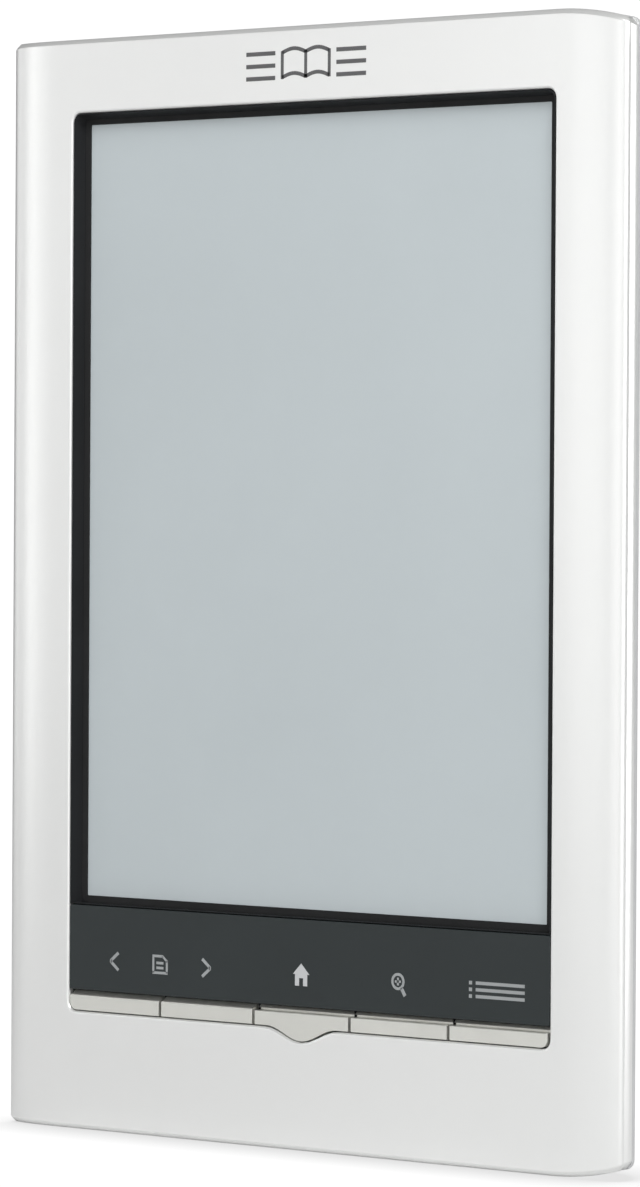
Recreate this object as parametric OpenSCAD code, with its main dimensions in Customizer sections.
// Pocket e-reader: a metal front shell and a plastic back cover around an
// electronic-paper panel, an infrared touch frame, five push buttons, a power
// slider, a reset switch and a stylus that lives in a silo along the right side.
// The reader stands on its bottom end: +X is its right side, -Y its front and +Z up.

/* [Body] */
// Width across the rounded sides
body_w = 104.6; // [104:0.1:106]
// Height from the bottom end to the top end
body_h = 145.4; // [145:0.1:148]
// Thickness from the front face to the back face
body_t = 9.2; // [9.2:0.1:10]
// Width of the front rounding along each side
edge_w = 8.5; // [7.5:0.5:9]
// How far the front rounding falls back at its widest point
edge_d = 1.5; // [1.4:0.1:1.8]
// Width of the back rounding along each side
back_edge_w = 10; // [9.5:0.1:10.2]
// Depth at which the front shell meets the back cover
seam_d = 3.4; // [3.3:0.1:3.5]
// Front wall of the metal shell
front_wall = 0.9; // [0.8:0.05:0.9]
// Side and back walls
side_wall = 1.1; // [1:0.1:1.2]
// Walls of the two flat ends
end_wall = 1.2; // [1.1:0.1:1.3]
// Small rounding where each end meets the front face
end_front_r = 0.7; // [0.4:0.1:0.8]
// Larger rounding where each end meets the back face
end_back_r = 3; // [2.5:0.1:3]
// Corner radius on the left side
left_corner_r = 1.3; // [1:0.1:1.6]
// How far the ends fall away towards the right corners
right_fall = 1.4; // [0.8:0.1:1.6]

/* [Window] */
// How far the window and all that shows in it sit to the right of the middle
window_shift = 0.5; // [0:0.1:0.5]
// Width of the window in the front shell
window_w = 82; // [81.8:0.1:82.2]
// Shell height left above the window
window_top = 9.9; // [9.5:0.1:10.2]
// Shell height left below the window
window_bottom = 15.8; // [15.6:0.1:16]
// Corner radius of the window
window_r = 1.2; // [0.8:0.1:1.6]

/* [Screen] */
// Width of the paper-like area that shows
screen_w = 78.2; // [77.8:0.1:78.4]
// Height of the paper-like area that shows
screen_h = 102.8; // [102:0.1:103.2]
// Shell height from the top end down to the paper-like area
screen_top = 11.4; // [11.2:0.1:11.8]
// Depth of the screen behind the front face
screen_d = 1.75; // [1.7:0.05:1.8]

/* [Label strip] */
// Height of the dark strip above the buttons
strip_h = 11.3; // [11:0.1:11.4]
// How far the strip and the touch frame stand back from the front face
front_step = 0.15; // [0.1:0.05:0.2]

/* [Buttons] */
// Distance from one button to the next
button_pitch = 16.4; // [16.2:0.05:16.4]
// Height of a button's bar
button_h = 2.6; // [2.4:0.1:2.65]
// Gap around each button
button_gap = 0.14; // [0.1:0.02:0.2]
// Press travel of the buttons
button_travel = 0.25; // [0.15:0.05:0.25]
// How far the home button bulges below the others
home_bulge = 1.75; // [1.2:0.05:2]
// Width of the home button's bulge
home_bulge_w = 12.4; // [10:0.1:13]

/* [Bottom end] */
// Place of the power slider along the bottom end
slider_x = -30; // [-34:0.5:-26]
// Travel of the power slider
slider_travel = 1.8; // [1:0.1:2]
// Place of the charge light
light_x = -19; // [-20:0.5:-18]
// Place of the small USB socket
usb_x = 12; // [8:0.5:16]
// Place of the reset pinhole
reset_x = 26; // [24:0.5:30]

/* [Stylus] */
// Distance of the stylus from the middle of the reader
stylus_x = 44.5; // [44.3:0.1:44.6]
// Depth of the stylus axis behind the front face
stylus_d = 5.65; // [5.6:0.05:5.7]
// Radius of the stylus
stylus_r = 1.75; // [1.6:0.05:1.75]
// Length of the stylus
stylus_len = 92; // [80:1:96]

/* [Inside] */
// Front of the chassis plate and of the button board
chassis_d = 2.9; // [2.9:0.05:2.95]
// Front of the main circuit board
board_d = 6.3; // [6.25:0.05:6.35]
// Thickness of the main circuit board
board_t = 0.8; // [0.7:0.1:0.8]
// Width of the battery
battery_w = 39; // [34:1:40]
// Height of the battery
battery_h = 70; // [60:1:72]
// Thickness of the battery
battery_t = 3.7; // [3.2:0.1:3.8]

/* [Hidden] */

eps = 0.05;
arc_steps = 8;
corner_steps = 4;
round_fn = 48;

// Colours
silver = "gainsboro";
cover_silver = "silver";
infrared_black = "#151617";
strip_grey = "#3a3d3f";
button_metal = "#d2d3cb";
paper_grey = "#bcc3c6";
board_green = "#1f5a3a";
chip_black = "#202124";
steel = "#b9bcc0";
flex_amber = "#b9772f";

// Window and strip edges
window_x = window_w / 2;
window_z0 = window_bottom;
window_z1 = body_h - window_top;
strip_z0 = window_z0 + button_h + 2 * button_gap;
strip_z1 = strip_z0 + strip_h;
screen_z1 = body_h - screen_top;
screen_z0 = screen_z1 - screen_h;

// Depths of the stacked layers
inner_back = body_t - side_wall;
bezel_wall_x = window_x - 0.5;
ledge_d = screen_d - 0.3;
ledge_t = 0.25;
flange_x = window_x + 1.6;
flange_z1 = window_z1 + 1.6;
flange_d = front_wall + eps;
film_t = 0.2;
glass_t = 0.7;
glass_x = 41.4;
glass_z0 = 22.6;
chassis_t = 0.5;
chassis_back = chassis_d + chassis_t;
chassis_x = 49.2;
chassis_z0 = 22.4;
chassis_z1 = body_h - 2.7;
ir_board_x = 42.9;
ir_board_w = 4;
ir_board_d = 1.65;
ir_board_t = 0.6;
ir_part_t = 0.5;
emitter_d = 0.97;
emitter_back = emitter_d + ir_part_t;

// Buttons
button_front = 0.1;
cap_back = 1.45;
flange_back = cap_back + 0.45;
button_z0 = window_z0 + button_gap;
button_z1 = button_z0 + button_h;
names_k = [-2, -1, 0, 1, 2];
key_board_z = [13.6, 20.4];
key_board_x = 46;

// Fasteners
case_screw_r = 0.5;
case_boss_r = 1.5;
case_bosses = [[-49, 26], [49, 26], [-49, 80], [49, 80], [-49, 139], [49, 139], [-44.2, 17], [44.2, 17]];
board_posts = [[4, 121], [38, 121], [4, 40], [38, 40]];
cover_posts = [[-40, 26], [40, 26], [-40, 138], [40, 138]];
cover_boss_r = 2.1;
cover_post_r = 1.5;
cover_head_r = 1.25;

// Circuit board outline
board_back = board_d + board_t;
board_low_x = 46.4;
board_low_z = [3.7, 31];
board_high_x = [-3, 41.4];
board_high_z1 = 128;

// Battery place
battery_x = -25.5;
battery_z = 34;
battery_d = chassis_back + 0.2;

// Bottom end openings lie at this depth
port_d = 4.95;
usb_w = 7.5;
usb_t = 2.5;
usb_len = 5.4;
slider_w = 7.2;
slider_t = 1.7;
pinhole_r = 0.45;
light_r = 0.8;

// Stylus places
stylus_z1 = body_h - 0.15;
stylus_z0 = stylus_z1 - stylus_len;
cap_len = 7;
tip_len = 4;
sleeve_r = stylus_r + 0.35;

// Slots for a clip-on cover along the left side
latch_z = [26, 119.4];
latch_len = 8;
latch_w = 1.5;
latch_d = 5.6;
latch_depth = 4.3;
latch_t = 0.5;

// Depth behind the front face as a Y coordinate
function at(d) = d - body_t / 2;

// A box given by its X, depth and Z limits
module block(x0, x1, d0, d1, z0, z1) {
    translate([x0, at(d0), z0])
        cube([x1 - x0, d1 - d0, z1 - z0]);
}

// A cylinder that runs front to back
module post(x, z, d0, d1, r) {
    translate([x, at(d0), z])
        rotate([-90, 0, 0])
            cylinder(r = r, h = d1 - d0, $fn = round_fn);
}

// A cylinder that runs upwards
module pillar(x, d, z0, z1, r) {
    translate([x, at(d), z0])
        cylinder(r = r, h = z1 - z0, $fn = round_fn);
}

// Angles of a quarter turn in equal steps
function quarter(n) = [for (k = [0:n]) 90 * k / n];

// Right half of the section across the sides, from the front flat to the back flat
function half_section(side, front, back) =
    let (front_x = body_w / 2 - edge_w, back_x = body_w / 2 - back_edge_w)
    concat(
        [for (a = quarter(arc_steps))
            [front_x + (edge_w - side) * sin(a), at(edge_d) - (edge_d - front) * cos(a)]],
        [for (a = quarter(arc_steps))
            if (a > 0)
                [back_x + (back_edge_w - side) * cos(a), at(edge_d) + (body_t - edge_d - back) * sin(a)]]);

// Whole section across the sides
function section(side, front, back) =
    let (right = half_section(side, front, back), n = len(right))
    concat(right, [for (k = [n - 1:-1:0]) [-right[k][0], right[k][1]]]);

// Upper half of the section across the ends, from the front to the back
function half_end(inset, front, back) =
    let (rf = max(end_front_r - inset, 0.2), rb = max(end_back_r - inset, 0.2), top = body_h / 2 - inset)
    concat(
        [for (a = quarter(corner_steps))
            [at(front) + rf - rf * cos(a), top - rf + rf * sin(a)]],
        [for (a = quarter(corner_steps))
            [at(body_t - back) - rb + rb * sin(a), top - rb + rb * cos(a)]]);

// Whole section across the ends
function end_section(inset, front, back) =
    let (up = half_end(inset, front, back), n = len(up))
    concat(up, [for (k = [n - 1:-1:0]) [up[k][0], -up[k][1]]]);

// Upper half of the face outline: small corner on the left, long fall on the right
function half_face(inset) =
    let (r = max(left_corner_r - inset, 0.2), top = body_h / 2 - inset,
        left = -body_w / 2 + inset, right = body_w / 2 - inset, start = body_w / 2 - 11)
    concat(
        [for (a = quarter(corner_steps)) [left + r - r * cos(a), top - r + r * sin(a)]],
        [for (k = [0:arc_steps])
            [start + (right - start) * k / arc_steps, top - right_fall * pow(k / arc_steps, 2)]]);

// Whole face outline
function face(inset) =
    let (up = half_face(inset), n = len(up))
    concat(up, [for (k = [n - 1:-1:0]) [up[k][0], -up[k][1]]]);

// Solid of the whole body, or of its hollow when the insets are the walls
module body_form(side, end, front, back) {
    intersection() {
        linear_extrude(body_h)
            polygon(section(side, front, back));
        translate([-body_w / 2, 0, body_h / 2])
            rotate([90, 0, 90])
                linear_extrude(body_w)
                    polygon(end_section(end, front, back));
        translate([0, body_t / 2, body_h / 2])
            rotate([90, 0, 0])
                linear_extrude(body_t)
                    polygon(face(end));
    }
}

module outer_form() {
    body_form(0, 0, 0, 0);
}

module hollow_form() {
    body_form(side_wall, end_wall, front_wall, side_wall);
}

// Everything between two depths
module layer(d0, d1) {
    block(-body_w, body_w, d0, d1, -body_h, 2 * body_h);
}

// Rounded rectangle that runs front to back
module rounded_block(x, z0, z1, d0, d1, r) {
    translate([0, at(d1), 0])
        rotate([90, 0, 0])
            linear_extrude(d1 - d0)
                union() {
                    translate([-x + r, z0])
                        square([2 * (x - r), z1 - z0]);
                    translate([-x, z0 + r])
                        square([2 * x, z1 - z0 - 2 * r]);
                    for (sx = [-1, 1], z = [z0 + r, z1 - r])
                        translate([sx * (x - r), z])
                            circle(r = r, $fn = round_fn);
                }
}

// Rounded bulge that hangs below the row of buttons
module bulge(top, width, drop, d0, d1) {
    steps = 16;
    translate([0, at(d1), top])
        rotate([90, 0, 0])
            linear_extrude(d1 - d0)
                polygon(concat(
                    [[-width / 2, 0.4]],
                    [for (k = [0:steps])
                        [width * (k / steps - 0.5), -drop * (1 - cos(360 * k / steps)) / 2]],
                    [[width / 2, 0.4]]));
}

// Flat cable that leaves the front, runs under the chassis and climbs to the main board
module folded_cable(x, width, d0, z_front, d1, z_back) {
    t = 0.14;
    low = chassis_z0 - 1.1;
    block(x - width / 2, x + width / 2, d0, d0 + t, low, z_front);
    block(x - width / 2, x + width / 2, d0, d1 + t, low - t, low);
    block(x - width / 2, x + width / 2, d1, d1 + t, low, z_back);
}

// Moves a sub-part sideways together with the window
module with_window() {
    translate([window_shift, 0, 0])
        children();
}

// --- Case ---

module front_shell() {
    color(silver)
        difference() {
            union() {
                difference() {
                    intersection() {
                        outer_form();
                        layer(-1, seam_d);
                    }
                    hollow_form();
                }
                intersection() {
                    outer_form();
                    for (p = case_bosses)
                        post(p[0], p[1], front_wall - 0.1, chassis_d, case_boss_r);
                }
            }
            with_window() {
                rounded_block(window_x, window_z0, window_z1, -1, front_wall + 0.5, window_r);
                bulge(window_z0, home_bulge_w, home_bulge, -1, front_wall + 0.5);
            }
            for (p = case_bosses)
                post(p[0], p[1], 1.5, chassis_d + 1, case_screw_r);
        }
}

// Openings of the bottom end and the silo mouth in the top end
module end_openings() {
    slot_w = slider_w + slider_travel + 0.4;
    block(slider_x - slider_w / 2 - 0.2, slider_x - slider_w / 2 - 0.2 + slot_w,
        port_d - slider_t / 2 - 0.15, port_d + slider_t / 2 + 0.15, -1, end_wall + 1);
    block(usb_x - usb_w / 2 - 0.1, usb_x + usb_w / 2 + 0.1,
        port_d - usb_t / 2 - 0.1, port_d + usb_t / 2 + 0.1, -1, end_wall + 1);
    pillar(light_x, port_d, -1, end_wall + 1, light_r + 0.05);
    pillar(reset_x, port_d, -1, end_wall + 1, pinhole_r);
    pillar(stylus_x, stylus_d, body_h - end_back_r - 1, body_h + 1, stylus_r + 0.1);
}

module back_cover() {
    color(cover_silver)
        difference() {
            union() {
                difference() {
                    intersection() {
                        outer_form();
                        layer(seam_d + 0.02, body_t + 1);
                    }
                    hollow_form();
                }
                for (p = cover_posts)
                    post(p[0], p[1], board_back + 0.25, inner_back + 0.1, cover_boss_r);
            }
            for (p = cover_posts) {
                post(p[0], p[1], board_back, body_t + 1, 0.75);
                post(p[0], p[1], body_t - 0.9, body_t + 1, cover_head_r + 0.1);
            }
            for (z = latch_z)
                block(-body_w, -body_w / 2 + latch_depth, latch_d - latch_w / 2, latch_d + latch_w / 2,
                    z - latch_len / 2, z + latch_len / 2);
            end_openings();
        }
}

// --- Front frame ---

module ir_bezel() {
    gap = 0.06;
    color(infrared_black)
        with_window()
            difference() {
                union() {
                    rounded_block(window_x - gap, strip_z1 - 4, window_z1 - gap,
                        front_step, ledge_d + ledge_t, window_r);
                    block(-flange_x, flange_x, flange_d, flange_d + 0.4, strip_z0 + 0.8, flange_z1);
                }
                block(-window_x, window_x, -1, flange_d - 0.02, 0, strip_z1 + gap);
                block(-bezel_wall_x, bezel_wall_x, -1, ledge_d, strip_z1 + 0.45, window_z1 - 0.55);
                block(-screen_w / 2, screen_w / 2, -1, screen_d + 1, screen_z0, screen_z1);
                block(-38, 38, 0, screen_d + 1, strip_z1 - 2.7, strip_z1 - 1.3);
                block(-body_w, body_w, flange_d + 0.4, screen_d + 1, 0, strip_z1 - 3.2);
            }
}

module label_strip() {
    color(strip_grey)
        with_window()
            block(-window_x + 0.06, window_x - 0.06, front_step, flange_d - 0.03, strip_z0, strip_z1);
}

// --- Buttons ---

// A bar with a bevelled upper edge, a hidden flange and a small nub
module button(k) {
    x = k * button_pitch;
    half = button_pitch / 2 - button_gap;
    bevel = 0.55;
    color(button_metal)
        with_window() {
            difference() {
                intersection() {
                    block(x - half, x + half, button_front, cap_back + 0.1, button_z0, button_z1);
                    rounded_block(window_x - button_gap, button_z0, strip_z1,
                        0, screen_d + 1, window_r - button_gap);
                }
                translate([x - half - 1, at(button_front), button_z1 - bevel])
                    rotate([45, 0, 0])
                        translate([0, -2, 0])
                            cube([2 * half + 2, 2, 2]);
            }
            block(x - half + 0.2, x + half - 0.2, cap_back, flange_back, window_z0 - 1.1, strip_z0 + 0.7);
            post(x, (button_z0 + button_z1) / 2, flange_back - eps, flange_back + 0.12, 0.9);
        }
}

module page_back_button() {
    button(-2);
}

module page_forward_button() {
    button(-1);
}

module home_button() {
    button(0);
    color(button_metal)
        with_window()
            bulge(window_z0 + button_gap, home_bulge_w - 4 * button_gap, home_bulge,
                button_front, cap_back + 0.1);
}

module zoom_button() {
    button(1);
}

module options_button() {
    button(2);
}

module key_membrane() {
    color("dimgray")
        with_window() {
            block(-41, 41, 2.35, 2.5, 14.8, 19.8);
            for (k = names_k)
                post(k * button_pitch, 17.2, 2.45, 2.66, 1.1);
        }
}

module dome_switches() {
    color(steel)
        with_window()
            for (k = names_k)
                translate([k * button_pitch, at(2.7), 17.2])
                    rotate([-90, 0, 0])
                        cylinder(r1 = 1.2, r2 = 2, h = 0.18, $fn = round_fn);
}

module key_board() {
    color(board_green)
        difference() {
            with_window()
                block(-key_board_x, key_board_x, chassis_d, chassis_back, key_board_z[0], key_board_z[1]);
            for (sx = [-1, 1])
                post(sx * 44.2, 17, chassis_d - 1, chassis_back + 1, case_screw_r + 0.15);
        }
}

module key_flex() {
    t = 0.14;
    color(flex_amber)
        with_window() {
            block(-12, -4, chassis_back + 0.02, chassis_back + 0.02 + t, 14.6, 18);
            block(-12, -4, chassis_back + 0.02, board_d - 1.05, 14.6 - t, 14.6);
            block(-12, -4, board_d - 1.05 - t, board_d - 1.05, 14.6, 16.4);
        }
}

// --- Display ---

module ink_film() {
    color(paper_grey)
        with_window()
            block(-screen_w / 2 - 1, screen_w / 2 + 1, screen_d, screen_d + film_t,
                screen_z0 - 1, screen_z1 + 1);
}

module display_glass() {
    color("#7d8a8c")
        with_window()
            block(-glass_x, glass_x, screen_d + film_t + 0.02, screen_d + film_t + glass_t,
                glass_z0, screen_z1 + 2.4);
}

module driver_chip() {
    color(chip_black)
        with_window()
            block(-14, 14, screen_d + 0.03, screen_d + film_t, 25.6, 27.2);
}

module display_flex() {
    color(flex_amber)
        with_window()
            folded_cable(0, 34, screen_d + 0.04, 24.4, board_d - 1.05, 26.6);
}

module display_gasket() {
    ring = 3.5;
    color("#26282a")
        with_window()
            difference() {
                block(-glass_x + 1, glass_x - 1, screen_d + film_t + glass_t + 0.02, chassis_d - 0.02, 25, 135);
                block(-glass_x + 1 + ring, glass_x - 1 - ring, 0, chassis_d + 1, 25 + ring, 135 - ring);
            }
}

// Stamped plate with posts for the main board and for the back cover
module chassis() {
    color(steel)
        difference() {
            union() {
                block(-chassis_x, chassis_x, chassis_d, chassis_back, chassis_z0, chassis_z1);
                for (p = board_posts)
                    post(p[0], p[1], chassis_back - eps, board_d - 0.01, 1.4);
                for (p = cover_posts)
                    post(p[0], p[1], chassis_back - eps, board_back + 0.2, cover_post_r);
            }
            for (p = case_bosses)
                post(p[0], p[1], chassis_d - 1, chassis_back + 1, case_screw_r + 0.15);
            for (p = board_posts)
                post(p[0], p[1], chassis_back + 0.4, board_d + 1, 0.5);
            for (p = cover_posts)
                post(p[0], p[1], chassis_back + 0.4, board_back + 1, 0.55);
            for (sx = [-1, 1], z = [50, 110])
                post(sx * 20, z, chassis_d - 1, chassis_back + 1, 5);
        }
}

// --- Infrared touch frame ---

module side_strip(sx) {
    x0 = sx > 0 ? ir_board_x : -ir_board_x - ir_board_w;
    color(board_green)
        with_window()
            block(x0, x0 + ir_board_w, ir_board_d, ir_board_d + ir_board_t, 29, 137);
}

module sensor_board_left() {
    side_strip(-1);
}

module emitter_board_right() {
    side_strip(1);
}

module sensor_board_top() {
    color(board_green)
        with_window()
            block(-42, 42, ir_board_d, ir_board_d + ir_board_t, flange_z1 + 0.2, flange_z1 + 4);
}

module emitter_board_bottom() {
    color(board_green)
        with_window()
            block(-37.9, 37.9, emitter_back + 0.01, emitter_back + 0.18, strip_z1 - 2.65, strip_z1 - 1.35);
}

// Infrared parts at a steady pitch along a side and an end
module ir_row(sx, end_z, end_d, count_side, count_end) {
    chip = 1.1;
    for (k = [0:count_side - 1])
        block(sx > 0 ? ir_board_x : -ir_board_x - chip, sx > 0 ? ir_board_x + chip : -ir_board_x,
            1.02, ir_board_d - 0.01, 34 + 5 * k, 34 + 5 * k + 1.6);
    for (k = [0:count_end - 1])
        block(5 * (k - (count_end - 1) / 2) - 0.8, 5 * (k - (count_end - 1) / 2) + 0.8,
            end_d, end_d + ir_part_t, end_z, end_z + chip);
}

module ir_sensors() {
    color(chip_black)
        with_window()
            ir_row(-1, flange_z1 + 0.25, 1.1, 20, 15);
}

module ir_emitters() {
    color("lightyellow")
        with_window()
            ir_row(1, strip_z1 - 2.55, emitter_d, 20, 15);
}

module ir_flex() {
    color(flex_amber)
        for (sx = [-1, 1])
            folded_cable(sx * 45, 1.6, ir_board_d + ir_board_t + 0.02, 30, board_d - 1.05, 26.6);
}

// --- Main board ---

module main_board() {
    color(board_green)
        difference() {
            union() {
                block(-board_low_x, board_low_x, board_d, board_back, board_low_z[0], board_low_z[1]);
                block(board_high_x[0], board_high_x[1], board_d, board_back, board_low_z[1] - 1, board_high_z1);
            }
            for (p = cover_posts)
                post(p[0], p[1], board_d - 1, board_back + 1, cover_post_r + 0.4);
            for (p = board_posts)
                post(p[0], p[1], board_d - 1, board_back + 1, 0.7);
        }
}

module processor() {
    color(chip_black)
        block(12, 25, board_d - 1.1, board_d - 0.01, 68, 81);
}

module memory_chips() {
    color(chip_black)
        for (z = [86, 98])
            block(13, 24, board_d - 1, board_d - 0.01, z, z + 9);
}

module power_chip() {
    color(chip_black)
        block(28, 34, board_d - 0.9, board_d - 0.01, 12, 18);
}

// Thin can over the display's power supply
module shield_can() {
    color(steel)
        difference() {
            block(8, 34, board_d - 1.6, board_d - 0.01, 44, 62);
            block(8.25, 33.75, board_d - 1.35, board_d + 1, 44.25, 61.75);
        }
}

// Sockets that take the flat cables
module flex_connectors() {
    color("ivory") {
        block(-18, 18, board_d - 0.88, board_d - 0.01, 23.4, 26.4);
        block(-13, -3, board_d - 1.02, board_d - 0.01, 16.6, 18.8);
        for (sx = [-1, 1])
            block(sx * 45 - 1.2, sx * 45 + 1.2, board_d - 0.88, board_d - 0.01, 24.4, 26.6);
    }
}

// --- Battery ---

module battery() {
    r = 1;
    color("#c8cacc")
        translate([battery_x, at(battery_d + battery_t / 2), battery_z])
            linear_extrude(battery_h)
                union() {
                    square([battery_w - 2 * r, battery_t], center = true);
                    square([battery_w, battery_t - 2 * r], center = true);
                    for (sx = [-1, 1], sy = [-1, 1])
                        translate([sx * (battery_w / 2 - r), sy * (battery_t / 2 - r)])
                            circle(r = r, $fn = round_fn);
                }
}

module battery_board() {
    z = battery_z + battery_h;
    color(board_green)
        block(battery_x - 14, battery_x + 14, battery_d + 1.2, battery_d + 2, z + 0.05, z + 4);
}

module battery_tape() {
    color("#e8e4d8")
        block(battery_x - battery_w / 2 + 3, battery_x + battery_w / 2 - 3,
            chassis_back + 0.02, battery_d - 0.02, battery_z + 4, battery_z + battery_h - 4);
}

// Three insulated wires from the battery's terminal board to its plug
module battery_lead() {
    z = battery_z + battery_h;
    start = battery_x + 14.05;
    color("firebrick")
        for (k = [0:2])
            translate([start, at(battery_d + 1.6), z + 0.8 + 1.1 * k])
                rotate([0, 90, 0])
                    cylinder(r = 0.4, h = 8.9, $fn = round_fn);
}

module battery_plug() {
    z = battery_z + battery_h;
    color("ivory")
        block(-2.5, 1.5, board_d - 1.9, board_d - 0.01, z, z + 4);
}

// --- Bottom end ---

module usb_socket_shell() {
    wall = 0.25;
    color(steel)
        difference() {
            block(usb_x - usb_w / 2, usb_x + usb_w / 2, port_d - usb_t / 2, port_d + usb_t / 2, 0.4, 0.4 + usb_len);
            block(usb_x - usb_w / 2 + wall, usb_x + usb_w / 2 - wall,
                port_d - usb_t / 2 + wall, port_d + usb_t / 2 - wall, 0, usb_len - 0.2);
        }
}

module usb_socket_tongue() {
    color(chip_black)
        block(usb_x - 1.9, usb_x + 1.9, port_d - 0.65, port_d - 0.15, 1, usb_len - 0.22);
}

module slide_switch() {
    color(steel)
        difference() {
            block(slider_x - 4.6, slider_x + 6.2, port_d - 1.2, board_d - 0.02, 3.9, 7);
            block(slider_x - 1.2, slider_x + 1.2 + slider_travel, port_d - 0.6, port_d + 0.6, 3, 5.2);
        }
}

module switch_actuator() {
    color(chip_black)
        block(slider_x - 0.9, slider_x + 0.9, port_d - 0.45, port_d + 0.45, 2.9, 5);
}

// Knob with a ribbed face and a guide plate inside the wall
module power_slider() {
    x0 = slider_x - slider_w / 2;
    color(button_metal)
        difference() {
            union() {
                block(x0, x0 + slider_w, port_d - slider_t / 2, port_d + slider_t / 2, 0.15, 2);
                block(x0 - 1.6, x0 + slider_w + 1.6, port_d - slider_t / 2 - 0.45, port_d + slider_t / 2 + 0.3,
                    end_wall + 0.15, 2.1);
                block(slider_x - 2.2, slider_x + 2.2, port_d - 0.8, port_d + 0.8, 2, 3.4);
            }
            block(slider_x - 0.9, slider_x + 0.9, port_d - 0.45, port_d + 0.45, 2.9, 4);
            for (k = [-2:2])
                block(slider_x + 1.1 * k - 0.2, slider_x + 1.1 * k + 0.2, port_d - 2, port_d + 2, -1, 0.35);
        }
}

module charge_led() {
    color("orange")
        block(light_x - 0.8, light_x + 0.8, port_d - 0.6, board_d - 0.02, 3.4, 4.4);
}

module light_pipe() {
    color("white", 0.6)
        union() {
            pillar(light_x, port_d, 0.1, 3.3, light_r);
            pillar(light_x, port_d, end_wall + 0.05, 1.8, light_r + 0.5);
        }
}

module reset_switch() {
    color(steel)
        difference() {
            block(reset_x - 1.8, reset_x + 1.8, port_d - 1, board_d - 0.02, 2.9, 6);
            pillar(reset_x, port_d, 2, 4.4, 0.85);
        }
}

module reset_plunger() {
    color(chip_black)
        pillar(reset_x, port_d, 1.6, 4, 0.7);
}

// --- Stylus ---

module stylus_barrel() {
    color(cover_silver)
        difference() {
            pillar(stylus_x, stylus_d, stylus_z0 + tip_len, stylus_z1 - cap_len, stylus_r);
            translate([stylus_x, at(stylus_d), stylus_z1 - cap_len - 6])
                rotate_extrude($fn = round_fn)
                    translate([stylus_r + 0.25, 0])
                        circle(r = 0.5, $fn = 24);
        }
}

module stylus_tip() {
    color("dimgray")
        translate([stylus_x, at(stylus_d), stylus_z0])
            rotate_extrude($fn = round_fn)
                polygon([[0, 0], [0.35, 0.1], [0.6, 0.5], [stylus_r - 0.1, tip_len - 0.01], [0, tip_len - 0.01]]);
}

module stylus_cap() {
    color(silver)
        intersection() {
            pillar(stylus_x, stylus_d, stylus_z1 - cap_len + 0.01, body_h, stylus_r);
            translate([0, 0, -0.15])
                outer_form();
        }
}

// Tube that guides the stylus, closed at its lower end
module stylus_sleeve() {
    z1 = body_h - end_back_r - 0.2;
    color("dimgray")
        difference() {
            pillar(stylus_x, stylus_d, stylus_z0 - 1, z1, sleeve_r);
            pillar(stylus_x, stylus_d, stylus_z0 - 0.1, z1 + 1, stylus_r + 0.08);
            block(stylus_x - 3, stylus_x, stylus_d - 0.6, stylus_d + 0.6,
                stylus_z1 - cap_len - 12, stylus_z1 - cap_len - 2);
        }
}

// Leaf spring that clicks into the groove of the stylus
module stylus_detent() {
    x = stylus_x - stylus_r - 0.3;
    color(steel)
        block(x - 0.15, x, stylus_d - 0.5, stylus_d + 0.5, stylus_z1 - cap_len - 11, stylus_z1 - cap_len - 3);
}

// --- Hardware ---

// Steel plates behind the cover slots
module latch_plates() {
    x0 = -body_w / 2 + latch_depth + 0.05;
    color(steel)
        for (z = latch_z)
            block(x0, x0 + latch_t, latch_d - 1.4, latch_d + 0.9, z - 6, z + 6);
}

// A small screw with its head towards the back
module screw(x, z, tip, head, r, head_r, head_t) {
    difference() {
        union() {
            post(x, z, tip, head + eps, r);
            post(x, z, head, head + head_t, head_r);
        }
        block(x - head_r, x + head_r, head + head_t - 0.2, head + head_t + 1, z - 0.12, z + 0.12);
        block(x - 0.12, x + 0.12, head + head_t - 0.2, head + head_t + 1, z - head_r, z + head_r);
    }
}

module case_screws() {
    color(steel)
        for (p = case_bosses)
            screw(p[0], p[1], 1.6, chassis_back + 0.01, case_screw_r - 0.02, 1.1, 0.5);
}

module board_screws() {
    color(steel)
        for (p = board_posts)
            screw(p[0], p[1], chassis_back + 0.6, board_back + 0.01, 0.48, 1.1, 0.5);
}

module cover_screws() {
    color(steel)
        for (p = cover_posts)
            screw(p[0], p[1], chassis_back + 0.8, body_t - 0.89, 0.53, cover_head_r, 0.6);
}

front_shell();
back_cover();
ir_bezel();
label_strip();
page_back_button();
page_forward_button();
home_button();
zoom_button();
options_button();
key_membrane();
dome_switches();
key_board();
key_flex();
ink_film();
display_glass();
driver_chip();
display_flex();
display_gasket();
chassis();
sensor_board_left();
sensor_board_top();
emitter_board_right();
emitter_board_bottom();
ir_sensors();
ir_emitters();
ir_flex();
main_board();
processor();
memory_chips();
power_chip();
shield_can();
flex_connectors();
battery();
battery_board();
battery_tape();
battery_lead();
battery_plug();
usb_socket_shell();
usb_socket_tongue();
slide_switch();
switch_actuator();
power_slider();
charge_led();
light_pipe();
reset_switch();
reset_plunger();
stylus_barrel();
stylus_tip();
stylus_cap();
stylus_sleeve();
stylus_detent();
latch_plates();
case_screws();
board_screws();
cover_screws();
